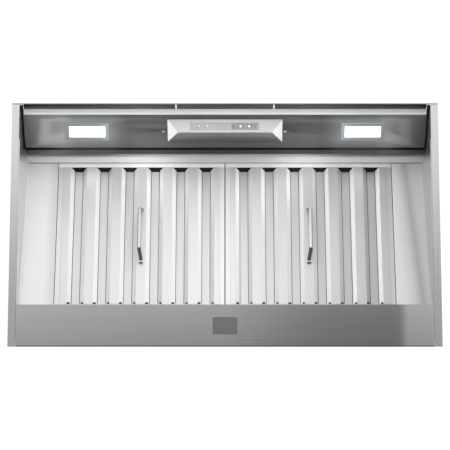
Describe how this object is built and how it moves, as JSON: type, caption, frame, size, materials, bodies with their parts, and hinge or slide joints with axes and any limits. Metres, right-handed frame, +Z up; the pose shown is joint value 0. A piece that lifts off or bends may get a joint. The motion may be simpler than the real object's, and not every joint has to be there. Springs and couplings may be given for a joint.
{
  "type": "built-in range hood",
  "caption": "Built-in range hood insert: steel liner with rim flange, sloping drop-down baffle filters, lit panel with a push-button pod, and a blower under a round duct collar.",
  "frame": {"origin": "centre of the bounding box in plan, at the underside of the rim flange", "axes": "+Z up towards the duct, -Y towards the cook, +X to the right of a cook who faces the hood"},
  "size_m": [0.874, 0.5196, 0.3371],
  "materials": {
    "brushed_steel": "brushed stainless, fine straight grain",
    "outer_steel": "plain stainless sheet, matt rolled finish",
    "filter_steel": "bright satin stainless",
    "handle_steel": "polished stainless wire",
    "dark_panel": "dark grey satin sheet with soft reflections",
    "pod_steel": "satin stainless",
    "fascia": "silver grey film over a grey window",
    "button": "white satin caps",
    "badge": "plain matt grey plate, no mark",
    "lamp_bezel": "frosted pale grey frame",
    "lamp_lens": "lit white diffuser",
    "lamp_housing": "white moulded box",
    "led_board": "white solder mask",
    "circuit_board": "green solder mask",
    "screw": "zinc plated",
    "galvanised": "galvanised sheet with a faint spangle",
    "bright_rod": "ground bright steel",
    "spring_steel": "spring strip",
    "impeller": "pressed aluminium wheel",
    "motor_case": "black painted can",
    "capacitor": "white can",
    "black_plastic": "black nylon",
    "cable_jacket": "black cable jacket",
    "driver_case": "white moulded case"
  },
  "bodies": {
    "housing": {"left_side_panel": "brushed_steel", "right_side_panel": "brushed_steel", "front_lip": "brushed_steel", "rear_flange": "brushed_steel", "ceiling_strip": "brushed_steel", "left_filler_panel": "brushed_steel", "right_filler_panel": "brushed_steel", "front_panel": "outer_steel", "rear_panel": "outer_steel", "top_panel": "outer_steel", "light_panel": "dark_panel", "control_pod": "pod_steel", "control_fascia": "fascia", "badge_plate": "badge", "left_lamp_bezel": "lamp_bezel", "right_lamp_bezel": "lamp_bezel", "left_lamp_lens": "lamp_lens", "right_lamp_lens": "lamp_lens", "left_lamp_housing": "lamp_housing", "right_lamp_housing": "lamp_housing", "left_led_board": "led_board", "right_led_board": "led_board", "control_board": "circuit_board", "pod_screw_left": "screw", "pod_screw_right": "screw", "filter_rail": "galvanised", "scroll_wrap": "galvanised", "scroll_side_left": "galvanised", "scroll_side_right": "galvanised", "motor_bracket": "galvanised", "junction_box": "galvanised", "junction_box_cover": "galvanised", "duct_collar": "galvanised", "filter_rod": "bright_rod", "damper_rod": "bright_rod", "left_front_catch": "spring_steel", "right_front_catch": "spring_steel", "motor": "motor_case", "run_capacitor": "capacitor", "cable_gland": "black_plastic", "wiring_loom": "cable_jacket", "led_driver": "driver_case"},
    "left_filter": {"left_filter_frame": "filter_steel", "left_outer_baffles": "filter_steel", "left_inner_baffles": "filter_steel"},
    "right_filter": {"right_filter_frame": "filter_steel", "right_outer_baffles": "filter_steel", "right_inner_baffles": "filter_steel"},
    "left_bail": {"left_handle": "handle_steel"},
    "right_bail": {"right_handle": "handle_steel"},
    "fan_down_key": {"button_fan_down": "button"},
    "fan_up_key": {"button_fan_up": "button"},
    "light_key": {"button_light": "button"},
    "power_key": {"button_power": "button"},
    "rotor": {"impeller": "impeller", "motor_shaft": "bright_rod"},
    "front_flap": {"damper_flap_front": "galvanised"},
    "rear_flap": {"damper_flap_rear": "galvanised"}
  },
  "joints": [
    {"name": "left_filter_drop", "type": "hinge", "parent": "housing", "child": "left_filter", "pos_m": [-0.1715, 0.18425, 0.03], "axis": [1, 0, 0], "range_deg": [0, 50]},
    {"name": "left_bail_swing", "type": "hinge", "parent": "left_filter", "child": "left_bail", "pos_m": [-0.1715, -0.00257, 0.08369], "axis": [0, 0.9438, -0.3305], "range_deg": [-66, 48]},
    {"name": "right_filter_drop", "type": "hinge", "parent": "housing", "child": "right_filter", "pos_m": [0.1715, 0.18425, 0.03], "axis": [1, 0, 0], "range_deg": [0, 50]},
    {"name": "right_bail_swing", "type": "hinge", "parent": "right_filter", "child": "right_bail", "pos_m": [0.1715, -0.00257, 0.08369], "axis": [0, 0.9438, -0.3305], "range_deg": [-48, 66]},
    {"name": "fan_down_press", "type": "slide", "parent": "housing", "child": "fan_down_key", "axis": [0, 0, 1], "range_m": [0, 0.001], "stiffness_N_per_m": 300, "springref_m": -0.002},
    {"name": "fan_up_press", "type": "slide", "parent": "housing", "child": "fan_up_key", "axis": [0, 0, 1], "range_m": [0, 0.001], "stiffness_N_per_m": 300, "springref_m": -0.002},
    {"name": "light_press", "type": "slide", "parent": "housing", "child": "light_key", "axis": [0, 0, 1], "range_m": [0, 0.001], "stiffness_N_per_m": 300, "springref_m": -0.002},
    {"name": "power_press", "type": "slide", "parent": "housing", "child": "power_key", "axis": [0, 0, 1], "range_m": [0, 0.001], "stiffness_N_per_m": 300, "springref_m": -0.002},
    {"name": "rotor_spin", "type": "hinge", "parent": "housing", "child": "rotor", "pos_m": [0, 0.06025, 0.186], "axis": [1, 0, 0], "continuous": true},
    {"name": "front_flap_lift", "type": "hinge", "parent": "housing", "child": "front_flap", "pos_m": [0, 0.02275, 0.3], "axis": [-1, 0, 0], "range_deg": [0, 80]},
    {"name": "rear_flap_lift", "type": "hinge", "parent": "housing", "child": "rear_flap", "pos_m": [0, 0.02275, 0.3], "axis": [1, 0, 0], "range_deg": [0, 80]}
  ]
}
